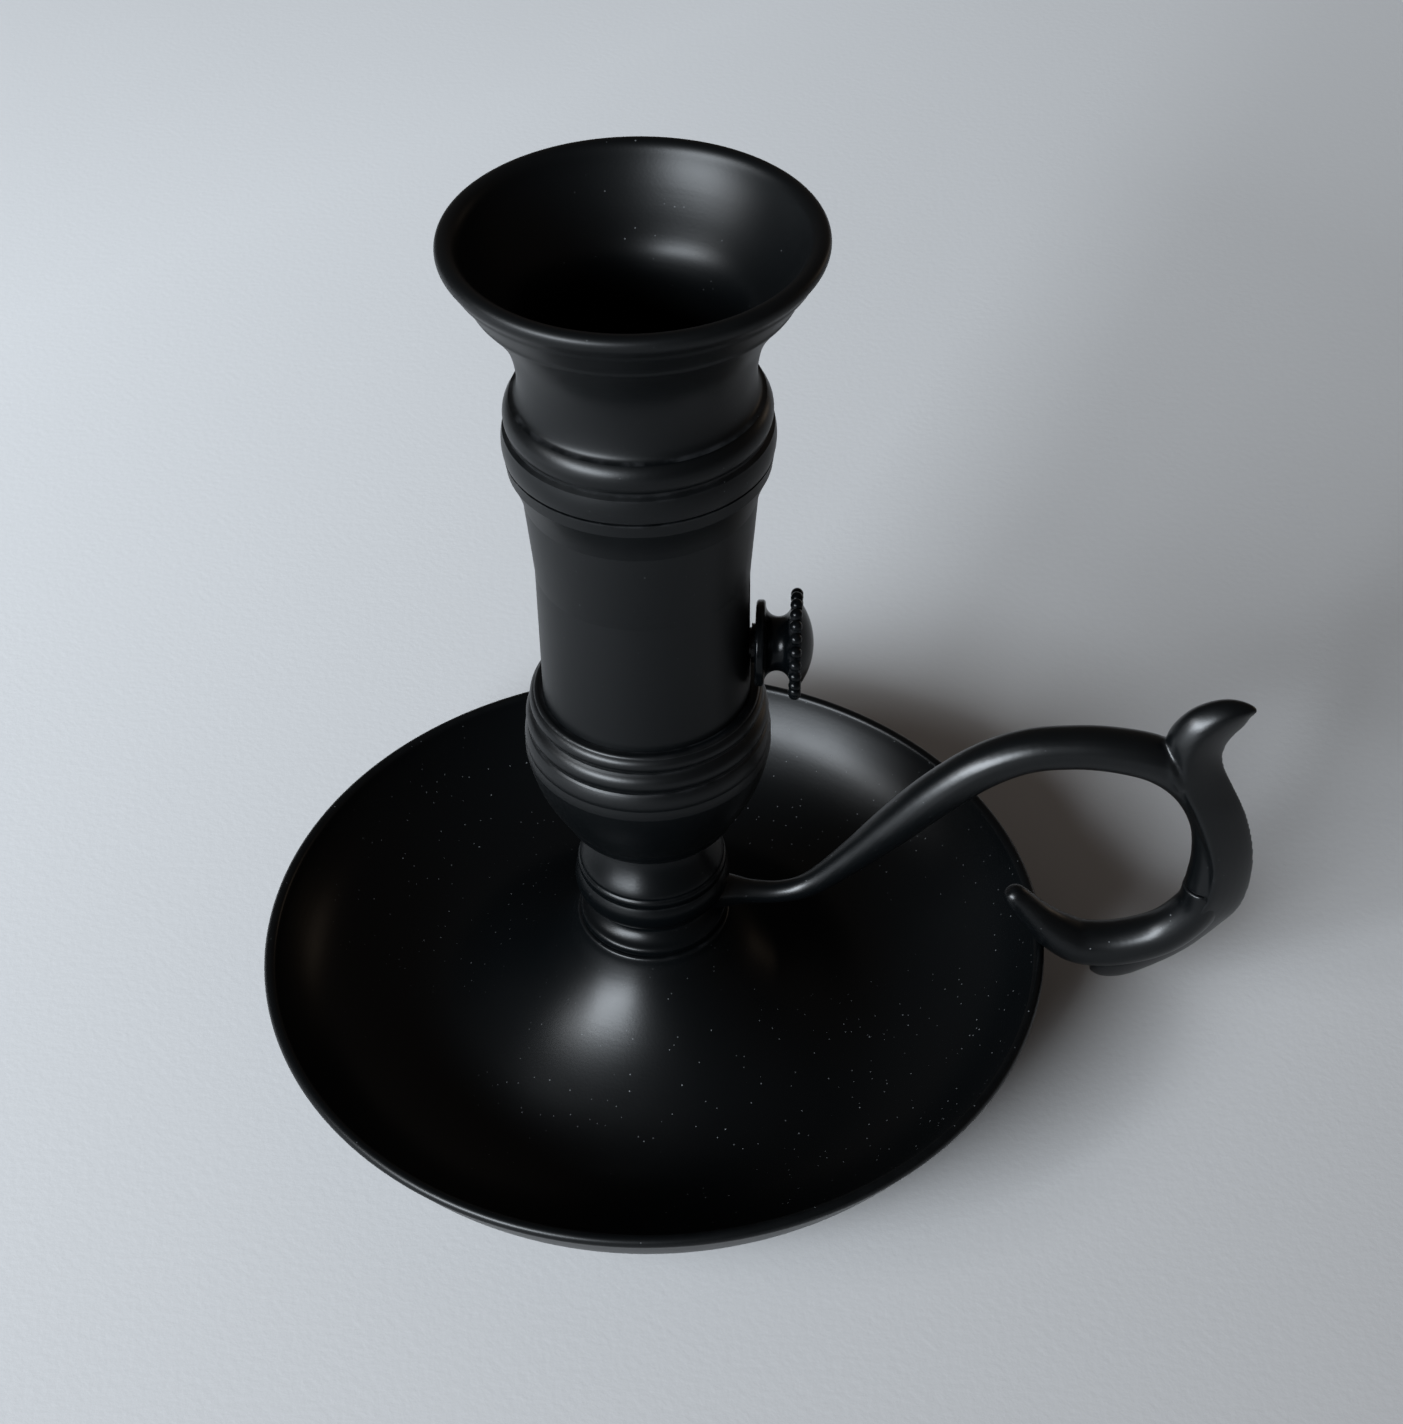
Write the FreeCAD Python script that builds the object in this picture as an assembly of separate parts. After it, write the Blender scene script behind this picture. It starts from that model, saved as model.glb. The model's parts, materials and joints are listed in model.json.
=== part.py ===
import FreeCAD, Part
import math
import os

from FreeCAD import Vector

# Chamberstick with a finger loop: a spun drip pan carries a turned stem, a reeded cup, a candle tube
# with a beaded collar and a flared mouth. A cast handle leaves the stem, rises into a finger loop with
# a thumb spur, and its hook comes back over the pan's rim. A knob in a slot of the tube pushes the
# candle up.
# Frame: +Z up, Z is the axis of the turned pieces, the origin lies on it in the plane that the pan
# stands on. The handle and the knob point to +X. Lengths in millimetres, angles in degrees.

# Pan; the shares are of its radius
pan_radius = 52.0
rim_height = 15.0
sheet = 1.2
rim_bead_radius = 0.8
wall_lean = 27.0
rest_ring_width = 1.0
dome_height = 18.9
dome_flat_share = 0.204
dome_bend = 1.2

# Stem, cup, tube, collar and mouth, from the dome of the pan up
candle_radius = 11.9
tube_wall = 0.6
tube_ease = 0.25
knop_radius = 10.1
knop_height = 15.6
cup_wall = 2.7
cup_height = 23.5
cup_floor = 10.5
tube_length = 48.6
tube_plain_share = 0.65226
collar_stand = 2.87
collar_height = 7.4
mouth_flare = 9.3
mouth_height = 20.3
throat_depth = 11.3
spigot_wall = 0.7
spigot_length = 14.5

# Clearances
fit_gap = 0.05
running_gap = 0.1
cut_overrun = 1.0

# Bolt that holds the turned pieces together
bolt_radius = 2.0
bolt_head_radius = 4.2
bolt_head_height = 2.4
bolt_socket_flats = 3.3
bolt_socket_depth = 1.2
bolt_tail = 1.2
washer_radius = 6.0
washer_thickness = 1.0
nut_flats = 7.0
nut_height = 3.2
nut_crown_share = 0.97

# Handle: the arm, then a ring round the finger outside the rim
arm_start = 8.0
arm_seat_share = 0.205
ring_offset = 5.2
ring_rise = 16.6
ring_half_width = 15.6
ring_half_height = 17.3
bar_radius = 3.1
stud_radius = 1.0
stud_inner = 3.4
stud_outer = 11.6
seam_step = 0.08

# Thumb spur and the strap outside the ring
spur_lean = 17.0
spur_rise = 24.0
strap_half_width = 3.4
strap_half_depth = 2.9

# Knob and pusher
knob_above_cup = 6.7
slot_width = 4.0
screw_radius = 1.9
flange_radius = 5.25
flange_thickness = 1.1
flange_rounding = 0.35
flange_hub_radius = 2.4
flange_hub_height = 0.5
spool_length = 3.1
spool_radius = 4.6
spool_waist_radius = 3.3
rosette_radius = 6.05
rosette_thickness = 1.3
bead_radius = 0.76
bead_count = 24
dome_radius = 4.9
dome_rise = 1.5
pusher_height = 15.0
pusher_below_knob = 5.0
pusher_wall = 1.7
pusher_top = 1.2
block_depth = 2.6
block_half_width = 3.6
block_half_height = 3.4
spring_width = 4.0
spring_thickness = 0.25
spring_length = 11.0
spring_flat_depth = 0.75
rivet_radius = 0.8
rivet_head_radius = 1.3
rivet_head_height = 0.3

# Flank of the pan's domed middle below the dome's edge, hollow like a bell: share of the pan's radius,
# share of the dome's rise above the floor and the bend there as a share of the pan's radius
flank_shares = [(0.2885, 0.6514, 0.635), (0.581, 0.0, 0.115)]

# Outlines of the turned pieces from the bottom up: share of the radius, share of the height and how
# far the run from the point before bulges to the right of its direction, as a share of the radius
knop_outline_shares = [
    (0.93, 0.00, 0.0), (0.96, 0.03, 0.01), (0.95, 0.07, 0.01), (0.87, 0.09, 0.0), (0.86, 0.13, 0.0),
    (0.80, 0.18, -0.015), (0.83, 0.24, -0.02), (1.00, 0.42, 0.055), (0.985, 0.585, 0.015),
    (0.95, 0.615, 0.0), (0.965, 0.64, 0.0), (0.94, 0.705, 0.01), (0.91, 0.73, 0.0), (0.92, 0.755, 0.0),
    (0.75, 0.915, 0.05), (0.71, 1.00, -0.01)]
cup_outline_shares = [
    (0.47, 0.00, 0.0), (0.485, 0.034, 0.0), (0.748, 0.191, 0.057), (0.992, 0.617, 0.039),
    (0.987, 0.675, 0.002), (0.965, 0.765, 0.012), (0.952, 0.775, 0.0), (0.955, 0.79, 0.0),
    (0.93, 0.885, 0.028), (0.915, 0.895, 0.0), (0.918, 0.91, 0.0), (0.90, 0.985, 0.025), (0.86, 1.00, 0.01)]
tube_outline_shares = [
    (1.00, 0.00, 0.0), (1.00, tube_plain_share, 0.0), (1.068, 0.873, 0.0), (1.19, 0.965, -0.012), (1.208, 1.00, 0.0)]
collar_outline_shares = [
    (0.965, 0.00, 0.0), (0.99, 0.05, 0.0), (0.985, 0.45, 0.012), (0.955, 0.50, 0.0), (0.955, 0.54, 0.0),
    (0.90, 1.00, 0.045)]

# The mouth's outline in shares of its flare beyond the candle's bore
mouth_outline_shares = [
    (0.17, 0.00, 0.0), (0.16, 0.17, -0.004), (0.436, 0.532, -0.03), (0.681, 0.69, 0.018), (0.673, 0.70, 0.0),
    (0.898, 0.855, 0.014), (0.887, 0.866, 0.0), (0.989, 0.925, 0.014), (1.00, 0.965, 0.004),
    (0.89, 1.00, 0.05), (0.787, 0.972, 0.014), (0.74, 0.935, 0.0), (0.06, 0.475, -0.136)]

# Centreline of the arm: shares of the reach to the ring, of the rise to the ring's top, and the
# bar's radius there as a share of its full radius
arm_shares = [
    (0.00, 0.00, 0.90), (0.04, 0.00, 0.72), (0.10, -0.005, 0.53), (0.18, 0.00, 0.475), (0.26, 0.06, 0.53),
    (0.36, 0.24, 0.67), (0.47, 0.47, 0.86), (0.57, 0.675, 0.94), (0.68, 0.86, 0.94), (0.79, 0.97, 0.91),
    (0.90, 1.005, 0.90)]

# Ring round the finger: angle from +X in degrees, share of the ring's half sizes and the share of the
# bar's full radius; the hook takes over at the last angle
ring_shares = [
    (88, 1.00, 0.93), (66, 1.00, 0.98), (45, 1.00, 1.01), (22, 0.99, 0.98), (0, 0.98, 0.96),
    (-18, 1.01, 0.98), (-33, 1.06, 0.98)]
hook_ring_shares = [(-33, 1.06, 0.98), (-52, 1.08, 0.99), (-72, 1.04, 1.00), (-90, 1.005, 0.98)]

# End of the hook: shares of the ring's half width and half height from its centre, and the share of
# the bar's full radius
hook_end_shares = [
    (-0.21, -0.91, 0.87), (-0.39, -0.77, 0.66), (-0.53, -0.62, 0.49), (-0.62, -0.515, 0.40)]

# Strap outside the ring: shares of the ring's half width and half height from its centre to the
# strap's centreline, then shares of its half width and half depth
strap_shares = [
    (0.60, 0.86, 0.60, 0.80), (0.82, 0.60, 0.95, 0.95), (0.97, 0.31, 1.00, 1.00), (1.06, 0.00, 1.00, 1.00),
    (1.06, -0.30, 1.00, 1.00), (0.95, -0.62, 0.97, 0.95), (0.73, -0.92, 0.90, 0.85), (0.43, -1.15, 0.80, 0.76),
    (0.25, -1.22, 0.66, 0.64), (0.16, -1.235, 0.40, 0.40)]

# Spur: shares of the way from the ring's centre to the spur's tip along X and along Z, then shares
# of the bar's full radius for the half width and the half depth
spur_shares = [
    (0.82, 0.37, 0.60, 0.90), (0.65, 0.63, 1.20, 1.00), (0.67, 0.83, 1.15, 0.90), (0.89, 0.985, 0.58, 0.52)]

# Points in each oval section of the handle's bars
section_points = 8

# Sections in a rounded tip: shares of the end's radius by which they lie ahead of it
round_tip_shares = [0.5, 0.8, 0.95]
spur_tip_shares = [0.6, 0.9]

# Radii worked out from the sizes above
tube_bore = candle_radius + tube_ease
tube_radius = tube_bore + tube_wall
cup_radius = tube_radius + cup_wall
collar_radius = tube_radius + collar_stand
mouth_radius = candle_radius + mouth_flare
spigot_radius = candle_radius + spigot_wall
bolt_hole_radius = bolt_radius + fit_gap
screw_hole_radius = screw_radius + fit_gap
pusher_radius = tube_bore - running_gap
pusher_bore = pusher_radius - pusher_wall

# Heights worked out from the sizes above
knop_top = dome_height + knop_height
cup_top = knop_top + cup_height
tube_bottom = knop_top + cup_floor
tube_top = tube_bottom + tube_length
collar_top = tube_top + collar_height
mouth_top = collar_top + mouth_height
throat_height = mouth_top - throat_depth
spigot_bottom = collar_top - spigot_length
washer_top = dome_height - sheet
nut_top = washer_top - washer_thickness
nut_bottom = nut_top - nut_height
arm_height = dome_height + arm_seat_share * knop_height
ring_height = rim_height + ring_rise
knob_height = cup_top + knob_above_cup
knob_travel = tube_bottom + tube_plain_share * tube_length - slot_width / 2 - knob_height
pusher_bottom = knob_height - pusher_below_knob
rivet_height = pusher_bottom + rivet_head_radius + spring_thickness

# Distances from the stem's axis along X, worked out from the sizes above
ring_reach = pan_radius + ring_offset
hub_face = tube_radius + running_gap
flange_face = hub_face + flange_hub_height
spool_start = flange_face + flange_thickness
rosette_start = spool_start + spool_length
dome_start = rosette_start + rosette_thickness
block_face = pusher_bore - fit_gap
screw_end = block_face - block_depth
spring_face = spring_flat_depth - pusher_radius


def outline_edges(points):
    """Edges through (radius, height, bulge) points in the XZ plane; a bulge makes the run an arc."""
    edges = []
    for (r0, z0, _), (r1, z1, bulge) in zip(points, points[1:]):
        start = Vector(r0, 0, z0)
        end = Vector(r1, 0, z1)
        if bulge:
            run = end - start
            side = Vector(run.z, 0, -run.x).normalize()
            middle = (start + end) / 2 + side * bulge
            edges.append(Part.Arc(start, middle, end).toShape())
        else:
            edges.append(Part.makeLine(start, end))
    return edges


def revolve(points):
    """Solid of revolution of a closed outline of (radius, height, bulge) points."""
    face = Part.Face(Part.Wire(outline_edges(points + [(points[0][0], points[0][1], 0)])))
    return face.revolve(Vector(0, 0, 0), Vector(0, 0, 1), 360)


def scaled_outline(shares, inner, outer, base, height):
    """Outline points from shares of the way from an inner to an outer radius and of a height."""
    span = outer - inner
    return [(inner + r * span, base + z * height, bulge * span) for r, z, bulge in shares]


def rod(radius, start, end):
    """Round bar between two points."""
    return Part.makeCylinder(radius, (end - start).Length, start, end - start)


def upright(radius, bottom, top):
    return rod(radius, Vector(0, 0, bottom), Vector(0, 0, top))


def level(radius, height, inner, outer):
    """Round bar along X at a height, between two distances from the axis."""
    return rod(radius, Vector(inner, 0, height), Vector(outer, 0, height))


def block(x0, x1, half_width, z0, z1):
    return Part.makeBox(x1 - x0, 2 * half_width, z1 - z0, Vector(x0, -half_width, z0))


def hexagon(flats, bottom, top):
    """Hexagonal prism by its width across the flats."""
    corner = flats / math.sqrt(3)
    turns = [math.radians(60 * k) for k in range(7)]
    wire = Part.makePolygon([Vector(corner * math.cos(a), corner * math.sin(a), bottom) for a in turns])
    return Part.Face(wire).extrude(Vector(0, 0, top - bottom))


def bent_path(points):
    """Open wire of straight runs with a tangent arc at each inner (radius, height, bend) point."""
    edges = []
    here = Vector(points[0][0], 0, points[0][1])
    for before, corner, after in zip(points, points[1:], points[2:]):
        tip = Vector(corner[0], 0, corner[1])
        back = (Vector(before[0], 0, before[1]) - tip).normalize()
        ahead = (Vector(after[0], 0, after[1]) - tip).normalize()
        half = back.getAngle(ahead) / 2
        tangent = corner[2] / math.tan(half)
        bisector = (back + ahead).normalize()
        middle = tip + bisector * (corner[2] / math.sin(half) - corner[2])
        start = tip + back * tangent
        end = tip + ahead * tangent
        edges.append(Part.makeLine(here, start))
        edges.append(Part.Arc(start, middle, end).toShape())
        here = end
    edges.append(Part.makeLine(here, Vector(points[-1][0], 0, points[-1][1])))
    return Part.Wire(edges)


def rim_ring(radius):
    """Ring of round section along the pan's rim."""
    return Part.makeTorus(pan_radius - rim_bead_radius, radius, Vector(0, 0, rim_height - rim_bead_radius))


def make_drip_pan():
    """Spun sheet: bell-shaped middle, flat ring that it stands on, leaning wall and a beaded rim."""
    lean = math.radians(wall_lean)
    top_r = pan_radius - rim_bead_radius - sheet / 2 * math.cos(lean)
    top_z = rim_height - rim_bead_radius + sheet / 2 * math.sin(lean)
    wall_foot = top_r - (top_z - sheet) * math.tan(lean)
    dome_edge = dome_flat_share * pan_radius
    flank = [(r * pan_radius, sheet + z * (dome_height - sheet), bend * pan_radius) for r, z, bend in flank_shares]
    (knee_r, knee_z, _), (foot_r, foot_z, foot_bend) = flank
    foot_slope = math.atan2(knee_z - foot_z, foot_r - knee_r)
    rest_ring_start = foot_r + foot_bend * math.tan(foot_slope / 2)
    wall_tangent = wall_foot - rest_ring_start - rest_ring_width
    wall_bend = wall_tangent / math.tan((math.pi / 2 - lean) / 2)
    middle = [(bolt_hole_radius, dome_height, 0), (dome_edge, dome_height, dome_bend)]
    upper = bent_path(middle + flank + [(wall_foot, sheet, wall_bend), (top_r, top_z, 0)])
    skin = upper.makeOffset2D(-sheet, 0, True, True, False)
    skin = skin.revolve(Vector(0, 0, 0), Vector(0, 0, 1), 360)
    return skin.fuse(rim_ring(rim_bead_radius)).removeSplitter()


def make_stem_knop():
    """Foot flange, knop and neck in one turning, drilled through for the bolt and sideways for the stud."""
    points = scaled_outline(knop_outline_shares, 0, knop_radius, dome_height, knop_height)
    points += [(bolt_hole_radius, knop_top, 0), (bolt_hole_radius, dome_height, 0)]
    return revolve(points).cut(level(stud_radius + fit_gap, arm_height, stud_inner - fit_gap, knop_radius))


def make_socket_cup():
    """Reeded bulb, bored out at the top for the candle tube and through its floor for the bolt."""
    seat = tube_radius + fit_gap
    points = scaled_outline(cup_outline_shares, 0, cup_radius, knop_top, cup_height)
    points += [(seat, cup_top, 0), (seat, tube_bottom, 0), (bolt_hole_radius, tube_bottom, 0),
               (bolt_hole_radius, knop_top, 0)]
    return revolve(points)


def slot_cutter():
    """Upright slot with round ends for the knob's screw, over its whole travel."""
    half = slot_width / 2
    inner = tube_bore - cut_overrun
    outer = tube_radius + cut_overrun
    top = knob_height + knob_travel
    slot = block(inner, outer, half, knob_height, top)
    return slot.fuse([level(half, knob_height, inner, outer), level(half, top, inner, outer)])


def make_candle_tube():
    """Plain tube that widens to a lip under the collar, counterbored there for the mouth's spigot."""
    spigot_seat = spigot_bottom - fit_gap
    counterbore = spigot_radius + fit_gap
    points = scaled_outline(tube_outline_shares, 0, tube_radius, tube_bottom, tube_length)
    points += [
        (counterbore, tube_top, 0), (counterbore, spigot_seat, 0), (tube_bore, spigot_seat, 0),
        (tube_bore, tube_bottom, 0)]
    return revolve(points).cut(slot_cutter())


def make_tube_collar():
    """Bead and shoulder that cover the joint between the tube and the mouth."""
    bore = spigot_radius + fit_gap
    points = scaled_outline(collar_outline_shares, 0, collar_radius, tube_top, collar_height)
    return revolve(points + [(bore, collar_top, 0), (bore, tube_top, 0)])


def make_flared_mouth():
    """Wax guard: ogee flare with a thick rounded rim, a bowl inside it, a neck and a long spigot."""
    points = scaled_outline(mouth_outline_shares, candle_radius, mouth_radius, collar_top, mouth_height)
    points += [
        (candle_radius, throat_height - spigot_wall, 0), (candle_radius, spigot_bottom, 0),
        (spigot_radius, spigot_bottom, 0), (spigot_radius, collar_top, 0)]
    return revolve(points)


def make_stem_bolt():
    """Bolt from the cup's floor down through the knop and the pan, with a hexagonal key hole."""
    head_top = tube_bottom + bolt_head_height
    bolt = upright(bolt_radius, nut_bottom - bolt_tail, tube_bottom)
    head = upright(bolt_head_radius, tube_bottom, head_top)
    socket = hexagon(bolt_socket_flats, head_top - bolt_socket_depth, head_top)
    return bolt.fuse(head).cut(socket).removeSplitter()


def make_stem_washer():
    return upright(washer_radius, nut_top, washer_top).cut(upright(bolt_hole_radius, nut_top, washer_top))


def make_stem_nut():
    """Hexagonal nut with its corners turned off."""
    body = hexagon(nut_flats, nut_bottom, nut_top)
    crown = upright(nut_flats / math.sqrt(3) * nut_crown_share, nut_bottom, nut_top)
    return body.common(crown).cut(upright(bolt_hole_radius, nut_bottom, nut_top))


def section(centre, direction, half_width, half_depth):
    """Oval across a direction in the XZ plane; half_depth is its extent along Y."""
    across = Vector(-direction.z, 0, direction.x)
    ring = []
    for k in range(section_points):
        turn = 2 * math.pi * k / section_points
        ring.append(centre + across * half_width * math.cos(turn) + Vector(0, half_depth * math.sin(turn), 0))
    curve = Part.BSplineCurve()
    curve.interpolate(ring, PeriodicFlag=True)
    return Part.Wire(curve.toShape())


def bar(stations, tip_shares):
    """Lofted bar through (x, z, half width, half depth) stations, rounded off by the tip's sections."""
    centres = [Vector(x, 0, z) for x, z, _, _ in stations]
    wires = []
    for k, (_, _, half_width, half_depth) in enumerate(stations):
        ahead = centres[min(k + 1, len(centres) - 1)]
        back = centres[max(k - 1, 0)]
        wires.append(section(centres[k], (ahead - back).normalize(), half_width, half_depth))
    direction = (centres[-1] - centres[-2]).normalize()
    half_width, half_depth = stations[-1][2:]
    for share in tip_shares:
        kept = math.sqrt(1 - share * share)
        centre = centres[-1] + direction * half_width * share
        wires.append(section(centre, direction, half_width * kept, half_depth * kept))
    if tip_shares:
        wires.append(Part.Vertex(centres[-1] + direction * half_width))
    return Part.makeLoft(wires, True, False)


def from_ring_centre(across, up, half_width, half_depth):
    """Station at shares of the ring's half width and half height from its centre."""
    return (ring_reach + across * ring_half_width, ring_height + up * ring_half_height, half_width, half_depth)


def on_ring(angle, size, swell):
    """Station of the round bar on the ring at an angle."""
    turn = math.radians(angle)
    radius = bar_radius * swell
    return from_ring_centre(size * math.cos(turn), size * math.sin(turn), radius, radius)


def arm_stations():
    reach = ring_reach - arm_start
    rise = ring_height + ring_half_height - arm_height
    stations = []
    for along, up, swell in arm_shares:
        radius = bar_radius * swell
        stations.append((arm_start + along * reach, arm_height + up * rise, radius, radius))
    return stations


def make_finger_hook():
    """Lower half of the ring, from the seam round under the finger to its seat on the pan's rim."""
    stations = [on_ring(*shares) for shares in hook_ring_shares]
    x, z, half_width, half_depth = stations[0]
    stations[0] = (x, z, half_width + seam_step, half_depth + seam_step)
    for across, up, swell in hook_end_shares:
        radius = bar_radius * swell
        stations.append(from_ring_centre(across, up, radius, radius))
    return bar(stations, round_tip_shares).cut(rim_ring(rim_bead_radius + fit_gap))


def make_strap():
    """Flatter bar outside the ring, from the spur's foot down past the seam to a free tip."""
    return bar([from_ring_centre(across, up, strap_half_width * width, strap_half_depth * depth)
                for across, up, width, depth in strap_shares], round_tip_shares)


def make_spur():
    """Thumb rest that curls up and away from the ring."""
    return bar([(ring_reach + across * spur_lean, ring_height + up * spur_rise, bar_radius * width,
                 bar_radius * depth) for across, up, width, depth in spur_shares], spur_tip_shares)


def make_handle_arm(hook, knop):
    """Arm and the upper half of the ring with the thumb spur, and the strap that the hook lies in."""
    body = bar(arm_stations() + [on_ring(*shares) for shares in ring_shares], [])
    casting = body.fuse([make_strap(), make_spur()])
    stud_hole = level(stud_radius + fit_gap, arm_height, arm_start, stud_outer + fit_gap)
    return casting.cut([hook, knop, stud_hole])


def make_handle_stud():
    return level(stud_radius, arm_height, stud_inner, stud_outer)


def turned_on_screw(points):
    """Solid of revolution about the knob's axis of (radius, distance from the stem's axis, bulge) points."""
    shape = revolve(points)
    shape.rotate(Vector(0, 0, 0), Vector(0, 1, 0), 90)
    shape.translate(Vector(0, 0, knob_height))
    return shape


def arc_sag(radius, half_chord):
    return radius - math.sqrt(radius ** 2 - half_chord ** 2)


def make_knob_flange():
    """Disc with rounded edges and a small hub that runs along the slot's edges."""
    rounding = flange_rounding
    sag = arc_sag(rounding, rounding / math.sqrt(2))
    return turned_on_screw([
        (screw_hole_radius, hub_face, 0), (flange_hub_radius, hub_face, 0), (flange_hub_radius, flange_face, 0),
        (flange_radius - rounding, flange_face, 0), (flange_radius, flange_face + rounding, sag),
        (flange_radius, spool_start - rounding, 0), (flange_radius - rounding, spool_start, sag),
        (screw_hole_radius, spool_start, 0)])


def make_knob_spool():
    """Waisted distance piece between the flange and the rosette."""
    return turned_on_screw([
        (screw_hole_radius, spool_start, 0), (spool_radius, spool_start, 0),
        (spool_radius, rosette_start, spool_waist_radius - spool_radius), (screw_hole_radius, rosette_start, 0)])


def make_knob_rosette():
    """Disc with a ring of pearls round its edge."""
    disc = turned_on_screw([
        (screw_hole_radius, rosette_start, 0), (rosette_radius, rosette_start, 0),
        (rosette_radius, dome_start, 0), (screw_hole_radius, dome_start, 0)])
    middle = (rosette_start + dome_start) / 2
    pearls = []
    for k in range(bead_count):
        turn = 2 * math.pi * k / bead_count
        pearls.append(Part.makeSphere(bead_radius, Vector(
            middle, rosette_radius * math.sin(turn), knob_height + rosette_radius * math.cos(turn))))
    return disc.fuse(pearls)


def make_knob_screw():
    """Dome-headed screw that clamps the knob together and reaches through the slot to the pusher."""
    shank = level(screw_radius, knob_height, screw_end, dome_start)
    dome_sphere = (dome_radius ** 2 + dome_rise ** 2) / (2 * dome_rise)
    sag = arc_sag(dome_sphere, math.hypot(dome_radius, dome_rise) / 2)
    head = turned_on_screw([
        (0, dome_start, 0), (dome_radius, dome_start, 0), (0, dome_start + dome_rise, sag)])
    return shank.fuse(head).removeSplitter()


def make_candle_pusher():
    """Capped sleeve under the candle, flattened opposite the knob for its friction spring."""
    top = pusher_bottom + pusher_height
    sleeve = upright(pusher_radius, pusher_bottom, top)
    sleeve = sleeve.cut(upright(pusher_bore, pusher_bottom, top - pusher_top))
    hole = level(screw_hole_radius, knob_height, screw_end, pusher_radius + cut_overrun)
    flat = block(-pusher_radius - cut_overrun, spring_face, tube_bore, pusher_bottom, top)
    rivet_hole = level(rivet_radius + fit_gap, rivet_height, -pusher_radius, -pusher_bore + cut_overrun)
    return sleeve.cut([hole, flat, rivet_hole])


def make_screw_block():
    """Tapped block inside the sleeve that the screw pulls against its wall."""
    body = block(screw_end, tube_bore, block_half_width, knob_height - block_half_height,
                 knob_height + block_half_height)
    body = body.common(upright(block_face, pusher_bottom, pusher_bottom + pusher_height))
    return body.cut(level(screw_hole_radius, knob_height, screw_end - cut_overrun, tube_bore))


def make_friction_spring():
    """Leaf that bows out to the tube's bore, riveted at its lower end."""
    corner_room = arc_sag(tube_bore, spring_width / 2)
    bow = tube_bore - running_gap + spring_face - spring_thickness - corner_room
    bottom = pusher_bottom + spring_thickness
    foot_end = rivet_height + rivet_head_radius
    path = Part.Wire(outline_edges([
        (spring_face, bottom, 0), (spring_face, foot_end, 0), (spring_face, bottom + spring_length, -bow)]))
    leaf = path.makeOffset2D(spring_thickness, 0, True, True, False)
    leaf = leaf.extrude(Vector(0, spring_width, 0))
    leaf.translate(Vector(0, -spring_width / 2, 0))
    return leaf.cut(level(rivet_radius + fit_gap, rivet_height, -tube_bore, 0))


def make_spring_rivet():
    """Rivet through the leaf and the sleeve, with a flat head on the leaf."""
    face = spring_face - spring_thickness
    shank = level(rivet_radius, rivet_height, face, -pusher_bore + rivet_head_height)
    head = level(rivet_head_radius, rivet_height, face - rivet_head_height, face)
    return shank.fuse(head).removeSplitter()


def largest(shape):
    """The largest solid of a shape, without the slivers that a cut can leave inside a hole."""
    return max(shape.Solids, key=lambda solid: solid.Volume)


def main():
    os.makedirs("parts", exist_ok=True)
    knop = make_stem_knop()
    hook = make_finger_hook()
    nodes = {
        "drip_pan": make_drip_pan(),
        "stem_knop": knop,
        "socket_cup": make_socket_cup(),
        "candle_tube": make_candle_tube(),
        "tube_collar": make_tube_collar(),
        "flared_mouth": make_flared_mouth(),
        "stem_bolt": make_stem_bolt(),
        "stem_washer": make_stem_washer(),
        "stem_nut": make_stem_nut(),
        "handle_arm": make_handle_arm(hook, knop),
        "handle_stud": make_handle_stud(),
        "finger_hook": hook,
        "candle_pusher": make_candle_pusher(),
        "screw_block": make_screw_block(),
        "friction_spring": make_friction_spring(),
        "spring_rivet": make_spring_rivet(),
        "knob_flange": make_knob_flange(),
        "knob_spool": make_knob_spool(),
        "knob_rosette": make_knob_rosette(),
        "knob_screw": make_knob_screw(),
    }
    for name, shape in nodes.items():
        solid = largest(shape)
        solid.exportStep("parts/" + name + ".step")
        box = solid.BoundBox
        print(name, len(shape.Solids), solid.isValid(), round(solid.Volume, 1),
              [round(v, 1) for v in (box.XMin, box.XMax, box.YMin, box.YMax, box.ZMin, box.ZMax)])


main()
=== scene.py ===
import json
import math

import bmesh
import bpy
from mathutils import Matrix, Vector


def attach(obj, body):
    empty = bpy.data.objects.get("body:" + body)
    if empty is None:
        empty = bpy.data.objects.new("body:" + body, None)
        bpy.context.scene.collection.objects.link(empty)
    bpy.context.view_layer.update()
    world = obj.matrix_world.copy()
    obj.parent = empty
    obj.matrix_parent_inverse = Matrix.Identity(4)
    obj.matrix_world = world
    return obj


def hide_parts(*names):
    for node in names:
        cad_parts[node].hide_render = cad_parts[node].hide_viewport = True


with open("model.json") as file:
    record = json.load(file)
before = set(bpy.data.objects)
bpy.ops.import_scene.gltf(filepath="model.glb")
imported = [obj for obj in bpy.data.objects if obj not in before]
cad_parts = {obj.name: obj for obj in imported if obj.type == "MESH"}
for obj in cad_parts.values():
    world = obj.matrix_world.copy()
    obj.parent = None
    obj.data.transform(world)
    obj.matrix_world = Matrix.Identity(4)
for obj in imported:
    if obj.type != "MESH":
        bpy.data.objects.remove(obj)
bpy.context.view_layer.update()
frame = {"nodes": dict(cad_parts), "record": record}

# A black lacquered chamberstick on a pale table by a window. Lengths are in metres, as in the frame,
# and the pieces' outlines are in millimetres.
print("frame loaded:", len(frame["nodes"]), "nodes")

mm = 0.001


def placed(name, data):
    thing = bpy.data.objects.new(name, data)
    bpy.context.scene.collection.objects.link(thing)
    return thing


# effects that the finishes share, each in a node group of its own

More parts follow.
